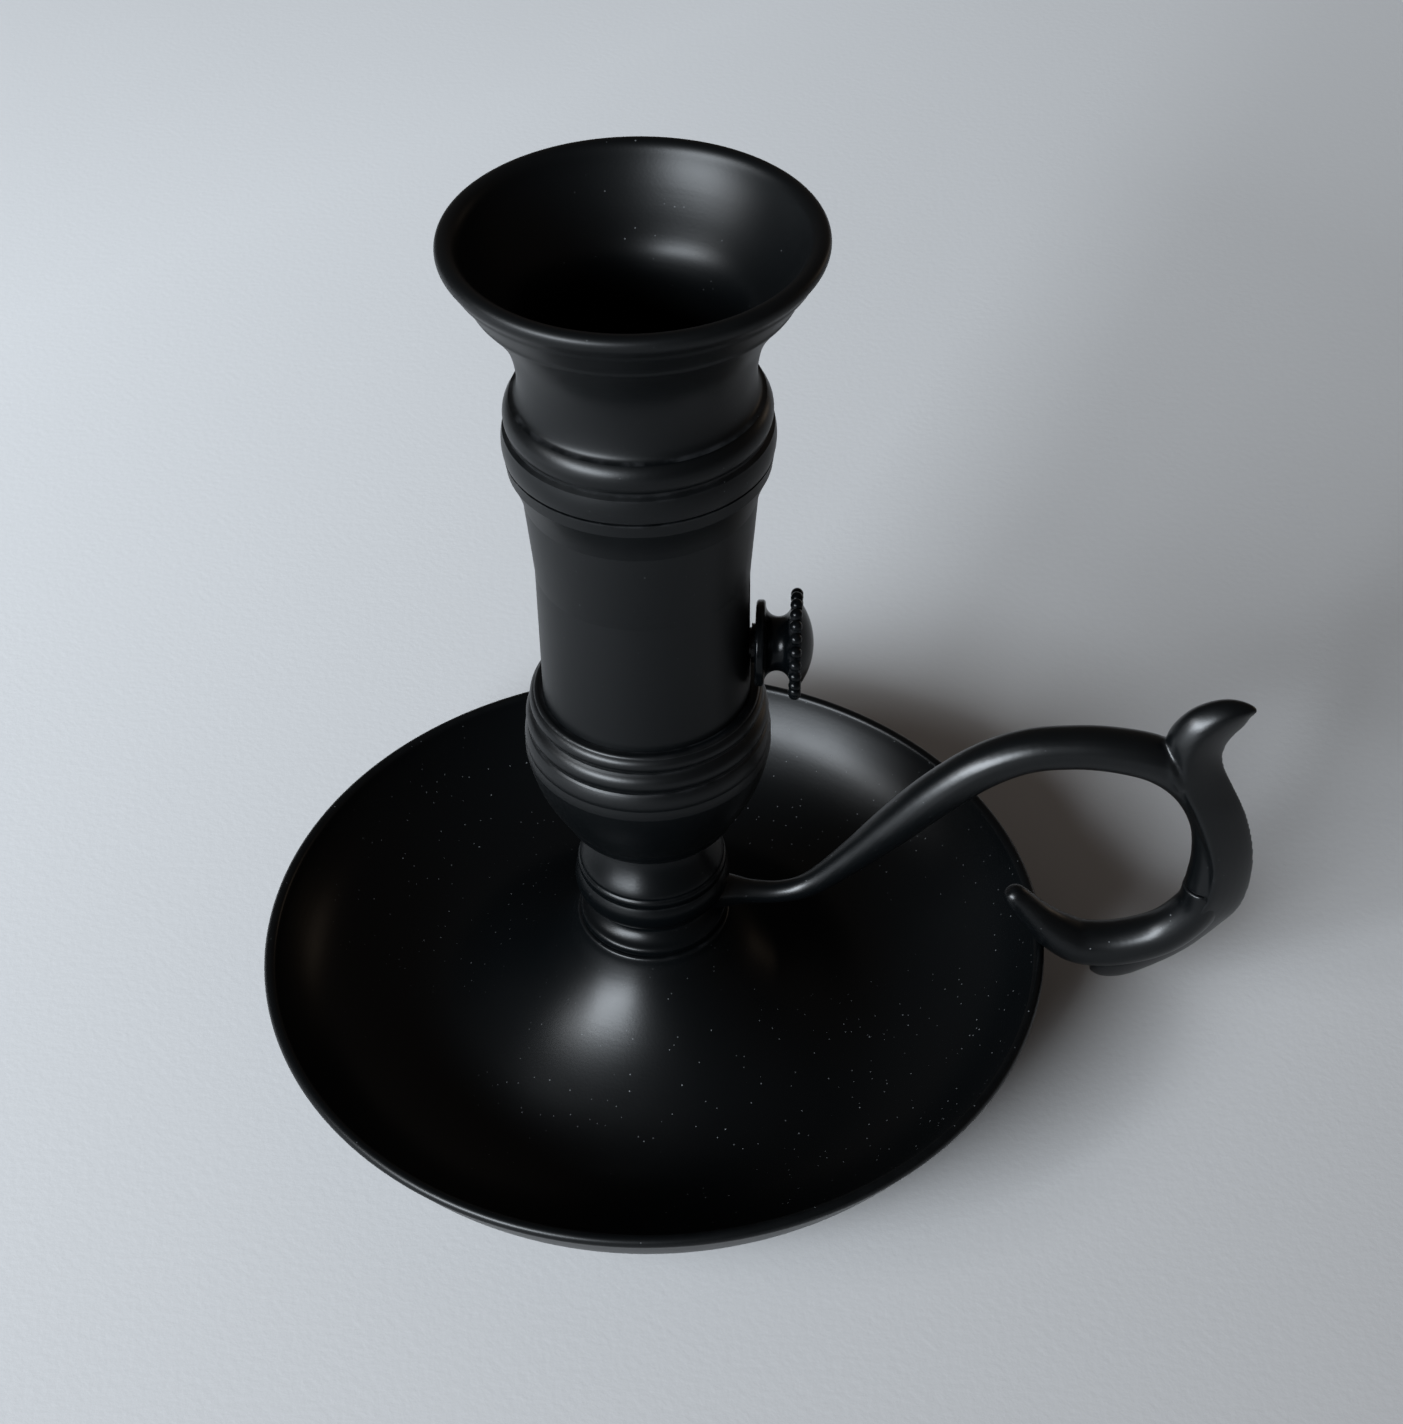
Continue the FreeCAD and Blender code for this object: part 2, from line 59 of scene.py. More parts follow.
def newGroup(name, inputs, outputs):
    group = bpy.data.node_groups.new(name, "ShaderNodeTree")
    for label, kind, value in inputs:
        socket = group.interface.new_socket(label, in_out="INPUT", socket_type=kind)
        if value is not None:
            socket.default_value = value
    for label, kind in outputs:
        group.interface.new_socket(label, in_out="OUTPUT", socket_type=kind)
    return group, group.nodes.new("NodeGroupInput"), group.nodes.new("NodeGroupOutput")


def feed(tree, value, socket):
    # a plain number, or the output of another node
    if isinstance(value, (int, float)):
        socket.default_value = value
    else:
        tree.links.new(value, socket)


def mathNode(tree, operation, a, b, clamp=False):
    node = tree.nodes.new("ShaderNodeMath")
    node.operation = operation
    node.use_clamp = clamp
    feed(tree, a, node.inputs[0])
    feed(tree, b, node.inputs[1])
    return node.outputs[0]


def noiseNode(tree, vector, scale, detail=4.0, roughness=0.55):
    node = tree.nodes.new("ShaderNodeTexNoise")
    node.inputs["Detail"].default_value = detail
    node.inputs["Roughness"].default_value = roughness
    tree.links.new(vector, node.inputs["Vector"])
    feed(tree, scale, node.inputs["Scale"])
    return node.outputs["Fac"]


def rampNode(tree, value, low, high):
    # straight ramp of a value between two limits
    node = tree.nodes.new("ShaderNodeMapRange")
    node.clamp = True
    node.inputs["From Min"].default_value = low
    node.inputs["From Max"].default_value = high
    tree.links.new(value, node.inputs["Value"])
    return node.outputs["Result"]


grainEffect = {"scale": 2600.0, "patchScale": 38.0, "patchEdges": (0.32, 0.72)}


def buildGrainGroup():
    # the fine orange-peel of sprayed lacquer, with slow patches of a duller finish
    group, start, end = newGroup("lacquerGrain", [
        ("Vector", "NodeSocketVector", None), ("Grain Scale", "NodeSocketFloat", grainEffect["scale"]),
        ("Patch Scale", "NodeSocketFloat", grainEffect["patchScale"])],
        [("Height", "NodeSocketFloat"), ("Patches", "NodeSocketFloat")])
    fine = noiseNode(group, start.outputs["Vector"], start.outputs["Grain Scale"], detail=3.0, roughness=0.5)
    patches = noiseNode(group, start.outputs["Vector"], start.outputs["Patch Scale"], detail=5.0, roughness=0.6)
    group.links.new(fine, end.inputs["Height"])
    group.links.new(rampNode(group, patches, *grainEffect["patchEdges"]), end.inputs["Patches"])
    return group


dustEffect = {"cellScale": 260.0, "speckSize": 0.06, "share": 0.08, "driftScale": 26.0, "driftEdges": (0.42, 0.60),
              "shadeEdges": (-0.4, 1.0), "upwardEdges": (-0.3, 0.7)}


def buildDustGroup():
    # sparse pale specks, denser on faces that look up
    group, start, end = newGroup("dustSpecks", [
        ("Vector", "NodeSocketVector", None), ("Cell Scale", "NodeSocketFloat", dustEffect["cellScale"]),
        ("Speck Size", "NodeSocketFloat", dustEffect["speckSize"]),
        ("Share", "NodeSocketFloat", dustEffect["share"])],
        [("Mask", "NodeSocketFloat")])
    cells = group.nodes.new("ShaderNodeTexVoronoi")
    group.links.new(start.outputs["Vector"], cells.inputs["Vector"])
    group.links.new(start.outputs["Cell Scale"], cells.inputs["Scale"])
    inside = mathNode(group, "LESS_THAN", cells.outputs["Distance"], start.outputs["Speck Size"])
    split = group.nodes.new("ShaderNodeSeparateColor")
    group.links.new(cells.outputs["Color"], split.inputs["Color"])
    chosen = mathNode(group, "LESS_THAN", split.outputs["Red"], start.outputs["Share"])
    slow = noiseNode(group, start.outputs["Vector"], dustEffect["driftScale"], detail=2.0)
    drifts = rampNode(group, slow, *dustEffect["driftEdges"])
    faint = mathNode(group, "MULTIPLY", mathNode(group, "MULTIPLY", inside, chosen), drifts)
    shade = rampNode(group, split.outputs["Green"], *dustEffect["shadeEdges"])
    geometry = group.nodes.new("ShaderNodeNewGeometry")
    axes = group.nodes.new("ShaderNodeSeparateXYZ")
    group.links.new(geometry.outputs["Normal"], axes.inputs["Vector"])
    upward = rampNode(group, axes.outputs["Z"], *dustEffect["upwardEdges"])
    lifted = mathNode(group, "MULTIPLY", faint, shade)
    group.links.new(mathNode(group, "MULTIPLY", lifted, upward), end.inputs["Mask"])
    return group


rubEffect = {"edgeRadius": 0.0006, "samples": 4, "turnEdges": (0.01, 0.12), "breakScale": 420.0,
             "breakEdges": (0.42, 0.62)}


def buildRubGroup():
    # soft wear where edges are handled: a rounded normal against the true one
    group, start, end = newGroup("rubbedEdges", [
        ("Vector", "NodeSocketVector", None), ("Edge Radius", "NodeSocketFloat", rubEffect["edgeRadius"]),
        ("Break Scale", "NodeSocketFloat", rubEffect["breakScale"])],
        [("Mask", "NodeSocketFloat")])
    bevel = group.nodes.new("ShaderNodeBevel")
    bevel.samples = rubEffect["samples"]
    group.links.new(start.outputs["Edge Radius"], bevel.inputs["Radius"])
    geometry = group.nodes.new("ShaderNodeNewGeometry")
    dot = group.nodes.new("ShaderNodeVectorMath")
    dot.operation = "DOT_PRODUCT"
    group.links.new(bevel.outputs["Normal"], dot.inputs[0])
    group.links.new(geometry.outputs["Normal"], dot.inputs[1])
    turned = rampNode(group, mathNode(group, "SUBTRACT", 1.0, dot.outputs["Value"]), *rubEffect["turnEdges"])
    uneven = noiseNode(group, start.outputs["Vector"], start.outputs["Break Scale"])
    broken = rampNode(group, uneven, *rubEffect["breakEdges"])
    group.links.new(mathNode(group, "MULTIPLY", turned, broken), end.inputs["Mask"])
    return group


turningEffect = {"ringScale": 900.0}


def buildTurningGroup():
    # faint rings left by the lathe or the spinning tool, under the lacquer
    group, start, end = newGroup("turningRings", [
        ("Vector", "NodeSocketVector", None), ("Ring Scale", "NodeSocketFloat", turningEffect["ringScale"])],
        [("Height", "NodeSocketFloat")])
    axes = group.nodes.new("ShaderNodeSeparateXYZ")
    group.links.new(start.outputs["Vector"], axes.inputs["Vector"])
    flat = group.nodes.new("ShaderNodeCombineXYZ")
    group.links.new(axes.outputs["X"], flat.inputs["X"])
    group.links.new(axes.outputs["Y"], flat.inputs["Y"])
    reach = group.nodes.new("ShaderNodeVectorMath")
    reach.operation = "LENGTH"
    group.links.new(flat.outputs["Vector"], reach.inputs[0])
    profile = group.nodes.new("ShaderNodeCombineXYZ")
    group.links.new(reach.outputs["Value"], profile.inputs["X"])
    group.links.new(axes.outputs["Z"], profile.inputs["Y"])
    rings = noiseNode(group, profile.outputs["Vector"], start.outputs["Ring Scale"], detail=2.0, roughness=0.4)
    group.links.new(rings, end.inputs["Height"])
    return group


scratchEffect = {"cellScale": 55.0, "share": 0.3, "bendScale": 60.0, "bendReach": 0.02, "width": 0.004,
                 "breakScale": 190.0}


def buildScratchGroup():
    # short hair scratches that lie in all directions and catch the light
    group, start, end = newGroup("hairScratches", [
        ("Vector", "NodeSocketVector", None), ("Cell Scale", "NodeSocketFloat", scratchEffect["cellScale"]),
        ("Share", "NodeSocketFloat", scratchEffect["share"])],
        [("Mask", "NodeSocketFloat")])
    bent = group.nodes.new("ShaderNodeTexNoise")
    bent.inputs["Scale"].default_value = scratchEffect["bendScale"]
    group.links.new(start.outputs["Vector"], bent.inputs["Vector"])
    shift = group.nodes.new("ShaderNodeVectorMath")
    shift.operation = "SCALE"
    shift.inputs["Scale"].default_value = scratchEffect["bendReach"]
    group.links.new(bent.outputs["Color"], shift.inputs[0])
    moved = group.nodes.new("ShaderNodeVectorMath")
    moved.operation = "ADD"
    group.links.new(start.outputs["Vector"], moved.inputs[0])
    group.links.new(shift.outputs["Vector"], moved.inputs[1])
    cells = group.nodes.new("ShaderNodeTexVoronoi")
    cells.feature = "DISTANCE_TO_EDGE"
    group.links.new(moved.outputs["Vector"], cells.inputs["Vector"])
    group.links.new(start.outputs["Cell Scale"], cells.inputs["Scale"])
    line = mathNode(group, "LESS_THAN", cells.outputs["Distance"], scratchEffect["width"])
    broken = noiseNode(group, start.outputs["Vector"], scratchEffect["breakScale"], detail=2.0)
    kept = mathNode(group, "LESS_THAN", broken, start.outputs["Share"])
    group.links.new(mathNode(group, "MULTIPLY", line, kept), end.inputs["Mask"])
    return group


grainGroup = buildGrainGroup()
dustGroup = buildDustGroup()
rubGroup = buildRubGroup()
turningGroup = buildTurningGroup()
scratchGroup = buildScratchGroup()
print("shader groups built")


def groupNode(tree, group, vector, **values):
    node = tree.nodes.new("ShaderNodeGroup")
    node.node_tree = group
    tree.links.new(vector, node.inputs["Vector"])
    for label, value in values.items():
        node.inputs[label.replace("_", " ")].default_value = value
    return node


def mixColour(tree, factor, a, b):
    node = tree.nodes.new("ShaderNodeMix")
    node.data_type = "RGBA"
    tree.links.new(factor, node.inputs["Factor"])
    for label, value in (("A", a), ("B", b)):
        socket = [s for s in node.inputs if s.name == label and s.type == "RGBA"][0]
        if hasattr(value, "links"):
            tree.links.new(value, socket)
        else:
            socket.default_value = (*value, 1.0)
    return [s for s in node.outputs if s.type == "RGBA"][0]


def startMaterial(name):
    material = bpy.data.materials.new(name)
    material.use_nodes = True
    tree = material.node_tree
    shader = tree.nodes["Principled BSDF"]
    coordinates = tree.nodes.new("ShaderNodeTexCoord")
    return material, tree, shader, coordinates.outputs["Object"]


def bumpFrom(tree, shader, height, strength, distance):
    bump = tree.nodes.new("ShaderNodeBump")
    bump.inputs["Strength"].default_value = strength
    bump.inputs["Distance"].default_value = distance
    tree.links.new(height, bump.inputs["Height"])
    tree.links.new(bump.outputs["Normal"], shader.inputs["Normal"])


# what every finish shares
wear = {"dustColour": (0.13, 0.135, 0.14), "dustDulling": 0.4, "scratchColour": (0.08, 0.09, 0.10),
        "scratchMix": 0.35, "bump": 0.5}


def lacquer(name, colour=(0.0008, 0.0012, 0.0015), rubbed=(0.030, 0.031, 0.033), gloss=0.30, spread=0.06,
            grain=2600.0, grainHeight=0.000012, dust=0.3, dustScale=900.0, speck=0.085, rub=0.35,
            turned=0.0, scratches=0.20, specular=0.17):
    # black lacquer on metal, sprayed and cured to a satin
    material, tree, shader, where = startMaterial(name)
    shader.inputs["Specular IOR Level"].default_value = specular
    grainNode = groupNode(tree, grainGroup, where, Grain_Scale=grain)
    dustNode = groupNode(tree, dustGroup, where, Cell_Scale=dustScale, Share=dust, Speck_Size=speck)
    scratchNode = groupNode(tree, scratchGroup, where, Share=scratches)
    rubNode = groupNode(tree, rubGroup, where)
    worn = mathNode(tree, "MULTIPLY", rubNode.outputs["Mask"], rub)
    base = mixColour(tree, worn, colour, rubbed)
    scratched = mathNode(tree, "MULTIPLY", scratchNode.outputs["Mask"], wear["scratchMix"])
    base = mixColour(tree, scratched, base, wear["scratchColour"])
    base = mixColour(tree, dustNode.outputs["Mask"], base, wear["dustColour"])
    tree.links.new(base, shader.inputs["Base Color"])
    satin = tree.nodes.new("ShaderNodeMapRange")
    satin.inputs["To Min"].default_value = gloss - spread / 2
    satin.inputs["To Max"].default_value = gloss + spread / 2
    tree.links.new(grainNode.outputs["Patches"], satin.inputs["Value"])
    rough = mathNode(tree, "ADD", satin.outputs["Result"],
                     mathNode(tree, "MULTIPLY", dustNode.outputs["Mask"], wear["dustDulling"]), clamp=True)
    tree.links.new(rough, shader.inputs["Roughness"])
    height = grainNode.outputs["Height"]
    if turned:
        rings = groupNode(tree, turningGroup, where).outputs["Height"]
        height = mathNode(tree, "ADD", height, mathNode(tree, "MULTIPLY", rings, turned))
    bumpFrom(tree, shader, height, wear["bump"], grainHeight)
    return material


def metal(name, colour, dull, gloss=0.3, spread=0.2, grain=1800.0, patches=160.0, grainHeight=0.00002):
    # bare metal with a fine grain and a dull film in patches
    material, tree, shader, where = startMaterial(name)
    shader.inputs["Metallic"].default_value = 1.0
    grainNode = groupNode(tree, grainGroup, where, Grain_Scale=grain, Patch_Scale=patches)
    tree.links.new(mixColour(tree, grainNode.outputs["Patches"], colour, dull), shader.inputs["Base Color"])
    satin = tree.nodes.new("ShaderNodeMapRange")
    satin.inputs["To Min"].default_value = gloss
    satin.inputs["To Max"].default_value = gloss + spread
    tree.links.new(grainNode.outputs["Patches"], satin.inputs["Value"])
    tree.links.new(satin.outputs["Result"], shader.inputs["Roughness"])
    bumpFrom(tree, shader, grainNode.outputs["Height"], wear["bump"], grainHeight)
    return material


finishes = {}

panLook = {"gloss": 0.35, "dust": 0.7, "turned": 0.8, "specular": 0.21}
finishes["pan_lacquer"] = lacquer("pan lacquer", **panLook)

stemLook = {"gloss": 0.32, "turned": 0.6}
finishes["stem_lacquer"] = lacquer("stem lacquer", **stemLook)

cupLook = {"gloss": 0.36, "turned": 1.0, "specular": 0.26}
finishes["cup_lacquer"] = lacquer("cup lacquer", **cupLook)

tubeLook = {"gloss": 0.42, "turned": 0.5, "scratches": 0.28, "specular": 0.22}
finishes["tube_lacquer"] = lacquer("tube lacquer", **tubeLook)

collarLook = {"gloss": 0.36, "turned": 0.8, "specular": 0.22}
finishes["collar_lacquer"] = lacquer("collar lacquer", **collarLook)

mouthLook = {"gloss": 0.42, "turned": 1.6, "dust": 0.25, "specular": 0.22}
finishes["mouth_lacquer"] = lacquer("mouth lacquer", **mouthLook)

handleLook = {"gloss": 0.33, "rub": 0.4, "specular": 0.30}
finishes["handle_lacquer"] = lacquer("handle lacquer", **handleLook)

hookLook = {"gloss": 0.33, "rub": 0.4, "specular": 0.28}
finishes["hook_lacquer"] = lacquer("hook lacquer", **hookLook)

knobLook = {"gloss": 0.22, "rub": 0.4, "dust": 0.2, "specular": 0.12}
finishes["knob_lacquer"] = lacquer("knob lacquer", **knobLook)

boltLook = {"colour": (0.42, 0.42, 0.43), "dull": (0.26, 0.25, 0.24)}
finishes["bolt_steel"] = metal("bolt steel", **boltLook)

studLook = {"colour": (0.55, 0.38, 0.15), "dull": (0.30, 0.20, 0.08)}
finishes["stud_brass"] = metal("stud brass", **studLook)

pusherLook = {"colour": (0.52, 0.36, 0.14), "dull": (0.26, 0.17, 0.07), "gloss": 0.38}
finishes["pusher_brass"] = metal("pusher brass", **pusherLook)

springLook = {"colour": (0.60, 0.42, 0.18), "dull": (0.36, 0.24, 0.10), "gloss": 0.26}
finishes["spring_brass"] = metal("spring brass", **springLook)

slotOf = {row["node"]: row["material_slot"] for row in frame["record"]["subparts"]}
for node, piece in frame["nodes"].items():
    for place in range(len(piece.material_slots)):
        piece.material_slots[place].material = finishes[slotOf[node]]
print("materials assigned")


def smoothRun(points, steps=4):
    # even cubic B-spline from the first point to the last; the points between only pull it
    pulled = [tuple(2 * a - b for a, b in zip(points[0], points[1])), *points,
              tuple(2 * a - b for a, b in zip(points[-1], points[-2]))]
    run = []
    for k in range(len(points) - 1):
        for i in range(steps):
            t = i / steps
            weights = ((1 - t) ** 3 / 6, (3 * t ** 3 - 6 * t * t + 4) / 6,
                       (3 * (t + t * t - t ** 3) + 1) / 6, t ** 3 / 6)
            run.append(tuple(sum(w * pulled[k + j][c] for j, w in enumerate(weights)) for c in (0, 1)))
    return run + [points[-1]]


def arcRun(centre, radius, start, end, steps=14):
    # points on an arc between two angles in degrees
    turns = [math.radians(start + (end - start) * k / steps) for k in range(steps + 1)]
    return [(centre[0] + radius * math.cos(a), centre[1] + radius * math.sin(a)) for a in turns]


def sheetPiece(name, sheet):
    # an object with the mesh of the bmesh sheet, which is used up
    mesh = bpy.data.meshes.new(name)
    sheet.to_mesh(mesh)
    sheet.free()
    return placed(name, mesh)


def takePlace(piece, node):
    # the piece is seen in place of a CAD node of the stand, in the finish of that node
    piece.data.materials.append(finishes[slotOf[node]])
    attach(piece, "stand")
    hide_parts(node)


turning = {"turns": 168, "creaseDegrees": 38}


def spinPiece(name, outline, node):
    # a turned or spun piece from its closed outline of (radius, height) in millimetres, in place of a CAD node
    turns = turning["turns"]
    sheet = bmesh.new()
    rings = []
    for radius, height in outline:
        rings.append([sheet.verts.new((mm * radius * math.cos(2 * math.pi * k / turns),
                                       mm * radius * math.sin(2 * math.pi * k / turns), mm * height))
                      for k in range(turns)])
    for here, there in zip(rings, rings[1:] + rings[:1]):
        for k in range(turns):
            sheet.faces.new((here[k], there[k], there[(k + 1) % turns], here[(k + 1) % turns])).smooth = True
    bmesh.ops.recalc_face_normals(sheet, faces=sheet.faces)
    for edge in sheet.edges:
        edge.smooth = edge.calc_face_angle(0.0) < math.radians(turning["creaseDegrees"])
    takePlace(sheetPiece(name, sheet), node)


# the spun pan: its bell flows into the floor and the wall without a break, which the light shows
pan = {
    "upper": [
        (2.05, 18.9), (5, 18.9), (8, 18.9), (9, 18.9), (9.6, 18.9), (9.95, 18.86), (10.1, 18.55), (10.25, 18),
        (10.5, 17.4), (10.95, 16.5), (11.6, 15.35), (12.5, 14), (13.5, 12.7), (14.6, 11.4), (15.8, 10.1),
        (17.2, 8.75), (19, 7.25), (21, 5.85), (23, 4.6), (25, 3.45), (27, 2.5), (29, 1.8), (31, 1.4), (33, 1.35),
        (35, 1.6), (37, 2.05), (39, 2.75), (41, 3.7), (43, 4.9), (45, 6.5), (46.6, 8.1), (48, 9.9), (49.2, 11.9),
        (50, 13.4), (50.45, 14.47)],
    "bead": ((51.2, 14.2), 0.8, 160, -68),  # centre, radius, first and last angle
    "wallOutside": [
        (51.49, 13.46), (50.7, 11.9), (49.83, 10.19), (48.8, 8.45), (47.5, 6.66), (45.2, 4.37), (42.5, 2.5),
        (39.6, 1.13), (36.4, 0.28), (34.2, 0.02), (33.2, 0)],
    "underside": [
        (32.2, 0), (31.4, 0.03), (30, 0.45), (28.3, 0.85), (26.5, 1.4), (24.45, 2.4), (22.4, 3.6), (20.2, 4.9),
        (18.2, 6.25), (16.5, 7.75), (14.95, 9.2), (13.75, 10.55), (12.65, 11.9), (11.6, 13.3), (10.65, 14.8),
        (9.95, 16), (9.5, 16.9), (9.2, 17.45), (8.8, 17.68), (8, 17.7), (6, 17.7), (2.05, 17.7)],
}
spinPiece("spunPan", smoothRun(pan["upper"]) + arcRun(*pan["bead"])[1:-1] + smoothRun(pan["wallOutside"])
          + smoothRun(pan["underside"]), "drip_pan")

# the mouth: a small cove at the foot, an ogee flare with soft steps under the rim, a bowl with a rounded
# throat, and the spigot
mouth = {
    "flare": [
        (14.45, 101), (13.95, 101.15), (13.65, 101.6), (13.48, 102.3), (13.4, 103.2), (13.39, 104.4),
        (13.6, 106.4), (14.2, 108.9), (15.2, 110.9), (16.3, 112.6), (17.3, 113.9), (18.1, 114.8), (18.2, 115.15),
        (18.35, 115.6), (19.2, 116.9), (20.1, 118.1), (20.2, 118.45),
        (20.45, 118.9), (21.05, 119.6), (21.25, 120.3), (21, 121), (20.2, 121.35), (19.4, 121.1), (18.95, 120.5),
        (18.65, 119.75), (18.25, 118.85), (17.65, 117.75), (16.95, 116.65), (16.15, 115.55), (15.3, 114.5),
        (14.4, 113.5), (13.6, 112.6), (12.95, 111.7), (12.5, 110.8), (12.2, 109.8), (12, 108.8), (11.92, 107.9),
        (11.9, 107.2)],
    "spigot": [(11.9, 86.5), (12.6, 86.5), (12.6, 101)],
}
spinPiece("turnedMouth", smoothRun(mouth["flare"]) + mouth["spigot"], "flared_mouth")

# the knop between pan and cup: foot, waist, a full bulge with two fine grooves, and a long shoulder
knop = {
    "outside": [
        (9.39, 18.9), (9.65, 19.06), (9.7, 19.45), (9.65, 19.91), (9.39, 20.23), (8.84, 20.46), (8.28, 21.01),
        (7.83, 21.63), (7.73, 22.18), (8.08, 22.8), (8.89, 23.42), (9.65, 24.13), (10.05, 24.98), (10.1, 25.76),
        (10, 26.54), (9.75, 27.17), (9.59, 27.48), (9.49, 27.64), (9.62, 27.87), (9.72, 28.26), (9.65, 28.73),
        (9.47, 28.96), (9.35, 29.12), (9.43, 29.32), (9.29, 29.74), (8.94, 30.37), (8.46, 31.15), (7.98, 32),
        (7.6, 32.78), (7.32, 33.56), (7.17, 34.27), (7.17, 34.5)],
    "bore": [(2.05, 34.5), (2.05, 18.9)],
}
spinPiece("turnedKnop", smoothRun(knop["outside"]) + knop["bore"], "stem_knop")
print("pan, mouth and knop turned")

# the cast handle: arm and ring run into the spur and the strap, whose faces meet in one ridge
casting = {
    # (x, z, radius) along the arm and round the finger to the seam
    "bar": [
        (6.5, 22.1, 2.79), (9.97, 22.1, 2.23), (12.92, 21.96, 1.64), (16.86, 22.1, 1.47), (20.79, 23.71, 1.64),
        (25.71, 28.53, 2.08), (31.12, 34.7, 2.67), (36.04, 40.19, 2.91), (41.46, 45.15, 2.91), (46.87, 48.1, 2.82),
        (52.28, 49.04, 2.79), (57.74, 48.89, 2.88), (63.55, 47.4, 3.0), (68.07, 43.65, 2.9), (70.94, 37.76, 2.55),
        (71.86, 31.6, 2.4), (71.86, 25.8, 2.66)],
    # from the spur's tip to the strap's: ridge x and z, inner edge x and z, outer edge x and z, half depth
    "blade": [
        (74.5, 56.1, 74.4, 56.4, 74.7, 55.7, 0.4), (73.2, 56.2, 72.85, 57.0, 74.0, 54.8, 1.1),
        (71.6, 55.9, 70.85, 57.2, 73.4, 53.4, 1.7), (69.8, 54.9, 68.45, 56.5, 72.4, 51.9, 2.2),
        (68.0, 53.1, 66.05, 54.8, 71.6, 50.2, 2.6), (66.9, 50.6, 64.2, 51.6, 71.4, 48.3, 2.9),
        (66.7, 47.7, 64.5, 48.2, 72.0, 46.0, 3.15), (67.2, 44.6, 66.2, 43.8, 73.5, 42.9, 3.25),
        (68.8, 41.2, 68.2, 39.3, 75.4, 38.9, 3.25), (70.6, 37.0, 70.1, 34.3, 76.9, 34.2, 3.2),
        (71.9, 32.5, 71.4, 29.8, 77.6, 30.0, 3.15), (72.3, 28.5, 71.6, 26.2, 77.6, 25.3, 3.1),
        (72.1, 25.6, 71.2, 23.9, 76.8, 21.5, 3.05), (70.9, 22.1, 69.6, 22.4, 75.0, 18.7, 2.9),
        (67.8, 17.6, 66.6, 18.0, 70.6, 13.2, 2.5), (63.4, 13.2, 62.9, 14.2, 64.9, 8.9, 2.3),
        (61.2, 12.2, 61.0, 12.9, 62.0, 7.7, 2.1), (59.5, 11.6, 59.3, 12.0, 59.9, 7.8, 1.8),
        (58.5, 10.8, 58.4, 11.1, 58.5, 8.8, 1.1)],
    # (x, depth, z, radius) of the soft fold where the arm meets the spur, on either face
    "fold": [(64.0, 0.9, 49.1, 0.7), (64.5, 1.75, 48.6, 0.85), (65.4, 2.4, 46.9, 0.9), (66.6, 2.5, 45.0, 0.75)],
    "foldCorners": 10,
    # (x, z, radius) of the hook from the seam to its tip
    "hook": [
        (71.86, 25.75, 2.78), (71.3, 21.61, 2.98), (67.57, 16.88, 3.07), (62.21, 14.49, 3.1), (57.2, 14.21, 3.05),
        (53.92, 15.86, 2.8), (51.12, 18.28, 2.35), (48.93, 20.87, 1.95), (47.75, 22.4, 1.7), (47.05, 23.2, 1.35),
        (46.7, 23.6, 0.8)],
    "innerRound": 1.6, "outerRound": 1.3,  # how full the blade's section is: 2 is round, 1 is a flat slope
    "voxel": 0.00028, "smoothing": 5,
}


def evenRun(points, steps=5):
    # smooth run through every point
    run = []
    for k in range(len(points) - 1):
        around = [points[min(max(k + j, 0), len(points) - 1)] for j in (-1, 0, 1, 2)]
        for i in range(steps):
            t = i / steps
            run.append(tuple(0.5 * (2 * b + (c - a) * t + (2 * a - 5 * b + 4 * c - d) * t * t
                                    + (3 * b - a - 3 * c + d) * t ** 3) for a, b, c, d in zip(*around)))
    return run + [points[-1]]


def addShell(sheet, rings):
    # closed tube through rings of points in millimetres
    loops = [[sheet.verts.new(Vector(point) * mm) for point in ring] for ring in rings]
    count = len(loops[0])
    for here, there in zip(loops, loops[1:]):
        for k in range(count):
            sheet.faces.new((here[k], here[(k + 1) % count], there[(k + 1) % count], there[k]))
    sheet.faces.new(loops[0][::-1])
    sheet.faces.new(loops[-1])


def addRod(sheet, stations, corners=24):
    # round bar through (x, y, z, radius) stations
    run = evenRun(stations)
    rings = []
    for k, (x, y, z, radius) in enumerate(run):
        along = Vector(run[min(k + 1, len(run) - 1)][:3]) - Vector(run[max(k - 1, 0)][:3])
        side = along.cross(Vector((0, 1, 0))).normalized()
        other = along.cross(side).normalized()
        rings.append([Vector((x, y, z)) + radius * (math.cos(2 * math.pi * c / corners) * side
                                                    + math.sin(2 * math.pi * c / corners) * other)
                      for c in range(corners)])
    addShell(sheet, rings)


def addBlade(sheet, stations, corners=8):
    # bar with a ridge along either face, between its inner and its outer edge
    rings = []
    for ridgeX, ridgeZ, innerX, innerZ, outerX, outerZ, depth in evenRun(stations):
        face = []
        for k in range(corners):
            turn = math.pi / 2 * k / corners
            out, lift = (f(turn) ** (2 / casting["innerRound"]) for f in (math.cos, math.sin))
            face.append((ridgeX + (innerX - ridgeX) * out, -depth * lift, ridgeZ + (innerZ - ridgeZ) * out))
        for k in range(corners + 1):
            turn = math.pi / 2 * k / corners
            out, lift = (max(f(turn), 0) ** (2 / casting["outerRound"]) for f in (math.sin, math.cos))
            face.append((ridgeX + (outerX - ridgeX) * out, -depth * lift, ridgeZ + (outerZ - ridgeZ) * out))
        rings.append(face + [(x, -y, z) for x, y, z in face[-2:0:-1]])
    addShell(sheet, rings)


